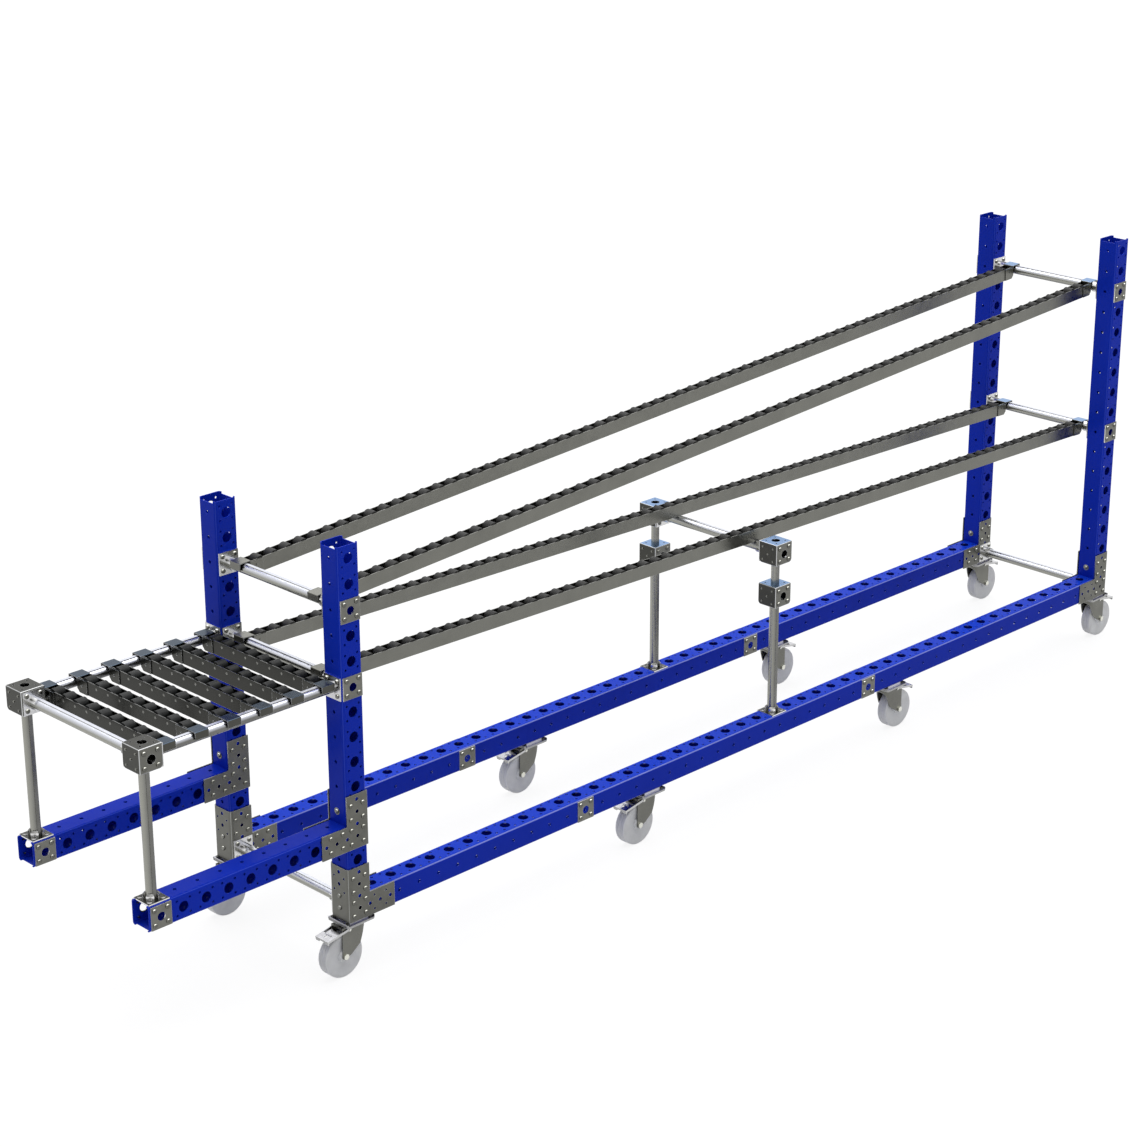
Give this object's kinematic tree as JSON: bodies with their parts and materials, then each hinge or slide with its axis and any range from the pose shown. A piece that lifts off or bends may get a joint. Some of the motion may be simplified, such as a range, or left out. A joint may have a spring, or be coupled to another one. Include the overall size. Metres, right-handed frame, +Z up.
{
  "type": "roller track rack",
  "caption": "Narrow castered gravity rack: perforated square tube frame carrying sloping roller tracks, with a short roller shelf at the low end.",
  "frame": {"origin": "middle of the rack's bounding box, on the floor under the wheels", "axes": "+X from the low unloading end to the high feeding end, +Y across to the far side, +Z up"},
  "size_m": [4.131, 0.5834, 1.4225],
  "materials": {
    "blue_paint": "gloss",
    "plated_steel": "satin",
    "bolt_steel": "satin",
    "tube_steel": "satin",
    "grey_channel": "satin",
    "black_roller": "satin",
    "fork_steel": "satin",
    "white_nylon": "satin",
    "bright_steel": "polished"
  },
  "bodies": {
    "rack": {"post_front_near": "blue_paint", "post_front_far": "blue_paint", "post_rear_near": "blue_paint", "post_rear_far": "blue_paint", "base_beam_near": "blue_paint", "base_beam_far": "blue_paint", "shelf_beam_near": "blue_paint", "shelf_beam_far": "blue_paint", "foot_brackets": "plated_steel", "elbow_plates": "plated_steel", "square_plates": "plated_steel", "frame_bolts": "bolt_steel", "tube_sockets": "plated_steel", "foot_clamps": "plated_steel", "joint_cubes": "plated_steel", "lane_cross_tubes": "tube_steel", "base_cross_tubes": "tube_steel", "middle_columns": "tube_steel", "shelf_tubes": "tube_steel", "track_upper_near": "grey_channel", "track_upper_far": "grey_channel", "track_lower_near": "grey_channel", "track_lower_far": "grey_channel", "shelf_tracks": "grey_channel", "lane_hooks": "plated_steel", "shelf_hooks": "plated_steel", "lane_rollers": "black_roller", "shelf_rollers": "black_roller", "roller_axles": "bolt_steel", "caster_trays": "plated_steel", "caster_spacers": "plated_steel", "caster_bolts": "bolt_steel"},
    "lead_roller_upper_near": {"lead_roller_upper_near": "black_roller"},
    "lead_roller_upper_far": {"lead_roller_upper_far": "black_roller"},
    "lead_roller_lower_near": {"lead_roller_lower_near": "black_roller"},
    "lead_roller_lower_far": {"lead_roller_lower_far": "black_roller"},
    "caster_1_near": {"fork_1_near": "fork_steel"},
    "wheel_1_near": {"wheel_1_near": "white_nylon"},
    "pedal_1_near": {"pedal_1_near": "bright_steel"},
    "caster_1_far": {"fork_1_far": "fork_steel"},
    "wheel_1_far": {"wheel_1_far": "white_nylon"},
    "pedal_1_far": {"pedal_1_far": "bright_steel"},
    "caster_2_near": {"fork_2_near": "fork_steel"},
    "wheel_2_near": {"wheel_2_near": "white_nylon"},
    "pedal_2_near": {"pedal_2_near": "bright_steel"},
    "caster_2_far": {"fork_2_far": "fork_steel"},
    "wheel_2_far": {"wheel_2_far": "white_nylon"},
    "pedal_2_far": {"pedal_2_far": "bright_steel"},
    "caster_3_near": {"fork_3_near": "fork_steel"},
    "wheel_3_near": {"wheel_3_near": "white_nylon"},
    "pedal_3_near": {"pedal_3_near": "bright_steel"},
    "caster_3_far": {"fork_3_far": "fork_steel"},
    "wheel_3_far": {"wheel_3_far": "white_nylon"},
    "pedal_3_far": {"pedal_3_far": "bright_steel"},
    "caster_4_near": {"fork_4_near": "fork_steel"},
    "wheel_4_near": {"wheel_4_near": "white_nylon"},
    "pedal_4_near": {"pedal_4_near": "bright_steel"},
    "caster_4_far": {"fork_4_far": "fork_steel"},
    "wheel_4_far": {"wheel_4_far": "white_nylon"},
    "pedal_4_far": {"pedal_4_far": "bright_steel"}
  },
  "joints": [
    {"name": "upper_near_lead_roller_spin", "type": "hinge", "parent": "rack", "child": "lead_roller_upper_near", "pos_m": [-1.34576, -0.16, 1.04333], "axis": [0, 1, 0], "continuous": true},
    {"name": "upper_far_lead_roller_spin", "type": "hinge", "parent": "rack", "child": "lead_roller_upper_far", "pos_m": [-1.34576, 0.16, 1.04333], "axis": [0, 1, 0], "continuous": true},
    {"name": "lower_near_lead_roller_spin", "type": "hinge", "parent": "rack", "child": "lead_roller_lower_near", "pos_m": [-1.34546, -0.16, 0.82888], "axis": [0, 1, 0], "continuous": true},
    {"name": "lower_far_lead_roller_spin", "type": "hinge", "parent": "rack", "child": "lead_roller_lower_far", "pos_m": [-1.34546, 0.16, 0.82888], "axis": [0, 1, 0], "continuous": true},
    {"name": "caster_1_near_swivel", "type": "hinge", "parent": "rack", "child": "caster_1_near", "pos_m": [-1.399, -0.2482, 0.147], "axis": [0, 0, 1], "continuous": true},
    {"name": "wheel_1_near_roll", "type": "hinge", "parent": "caster_1_near", "child": "wheel_1_near", "pos_m": [-1.441, -0.2482, 0.0625], "axis": [0, 1, 0], "continuous": true},
    {"name": "pedal_1_near_press", "type": "hinge", "parent": "caster_1_near", "child": "pedal_1_near", "pos_m": [-1.426, -0.2482, 0.1375], "axis": [0, -1, 0], "range_deg": [0, 8]},
    {"name": "caster_1_far_swivel", "type": "hinge", "parent": "rack", "child": "caster_1_far", "pos_m": [-1.399, 0.2482, 0.147], "axis": [0, 0, 1], "continuous": true},
    {"name": "wheel_1_far_roll", "type": "hinge", "parent": "caster_1_far", "child": "wheel_1_far", "pos_m": [-1.441, 0.2482, 0.0625], "axis": [0, 1, 0], "continuous": true},
    {"name": "pedal_1_far_press", "type": "hinge", "parent": "caster_1_far", "child": "pedal_1_far", "pos_m": [-1.426, 0.2482, 0.1375], "axis": [0, -1, 0], "range_deg": [0, 8]},
    {"name": "caster_2_near_swivel", "type": "hinge", "parent": "rack", "child": "caster_2_near", "pos_m": [-0.279, -0.2482, 0.147], "axis": [0, 0, 1], "continuous": true},
    {"name": "wheel_2_near_roll", "type": "hinge", "parent": "caster_2_near", "child": "wheel_2_near", "pos_m": [-0.321, -0.2482, 0.0625], "axis": [0, 1, 0], "continuous": true},
    {"name": "pedal_2_near_press", "type": "hinge", "parent": "caster_2_near", "child": "pedal_2_near", "pos_m": [-0.306, -0.2482, 0.1375], "axis": [0, -1, 0], "range_deg": [0, 8]},
    {"name": "caster_2_far_swivel", "type": "hinge", "parent": "rack", "child": "caster_2_far", "pos_m": [-0.279, 0.2482, 0.147], "axis": [0, 0, 1], "continuous": true},
    {"name": "wheel_2_far_roll", "type": "hinge", "parent": "caster_2_far", "child": "wheel_2_far", "pos_m": [-0.321, 0.2482, 0.0625], "axis": [0, 1, 0], "continuous": true},
    {"name": "pedal_2_far_press", "type": "hinge", "parent": "caster_2_far", "child": "pedal_2_far", "pos_m": [-0.306, 0.2482, 0.1375], "axis": [0, -1, 0], "range_deg": [0, 8]},
    {"name": "caster_3_near_swivel", "type": "hinge", "parent": "rack", "child": "caster_3_near", "pos_m": [0.841, -0.2482, 0.147], "axis": [0, 0, 1], "continuous": true},
    {"name": "wheel_3_near_roll", "type": "hinge", "parent": "caster_3_near", "child": "wheel_3_near", "pos_m": [0.883, -0.2482, 0.0625], "axis": [0, 1, 0], "continuous": true},
    {"name": "pedal_3_near_press", "type": "hinge", "parent": "caster_3_near", "child": "pedal_3_near", "pos_m": [0.868, -0.2482, 0.1375], "axis": [0, 1, 0], "range_deg": [0, 8]},
    {"name": "caster_3_far_swivel", "type": "hinge", "parent": "rack", "child": "caster_3_far", "pos_m": [0.841, 0.2482, 0.147], "axis": [0, 0, 1], "continuous": true},
    {"name": "wheel_3_far_roll", "type": "hinge", "parent": "caster_3_far", "child": "wheel_3_far", "pos_m": [0.883, 0.2482, 0.0625], "axis": [0, 1, 0], "continuous": true},
    {"name": "pedal_3_far_press", "type": "hinge", "parent": "caster_3_far", "child": "pedal_3_far", "pos_m": [0.868, 0.2482, 0.1375], "axis": [0, 1, 0], "range_deg": [0, 8]},
    {"name": "caster_4_near_swivel", "type": "hinge", "parent": "rack", "child": "caster_4_near", "pos_m": [1.961, -0.2482, 0.147], "axis": [0, 0, 1], "continuous": true},
    {"name": "wheel_4_near_roll", "type": "hinge", "parent": "caster_4_near", "child": "wheel_4_near", "pos_m": [2.003, -0.2482, 0.0625], "axis": [0, 1, 0], "continuous": true},
    {"name": "pedal_4_near_press", "type": "hinge", "parent": "caster_4_near", "child": "pedal_4_near", "pos_m": [1.988, -0.2482, 0.1375], "axis": [0, 1, 0], "range_deg": [0, 8]},
    {"name": "caster_4_far_swivel", "type": "hinge", "parent": "rack", "child": "caster_4_far", "pos_m": [1.961, 0.2482, 0.147], "axis": [0, 0, 1], "continuous": true},
    {"name": "wheel_4_far_roll", "type": "hinge", "parent": "caster_4_far", "child": "wheel_4_far", "pos_m": [2.003, 0.2482, 0.0625], "axis": [0, 1, 0], "continuous": true},
    {"name": "pedal_4_far_press", "type": "hinge", "parent": "caster_4_far", "child": "pedal_4_far", "pos_m": [1.988, 0.2482, 0.1375], "axis": [0, 1, 0], "range_deg": [0, 8]}
  ]
}
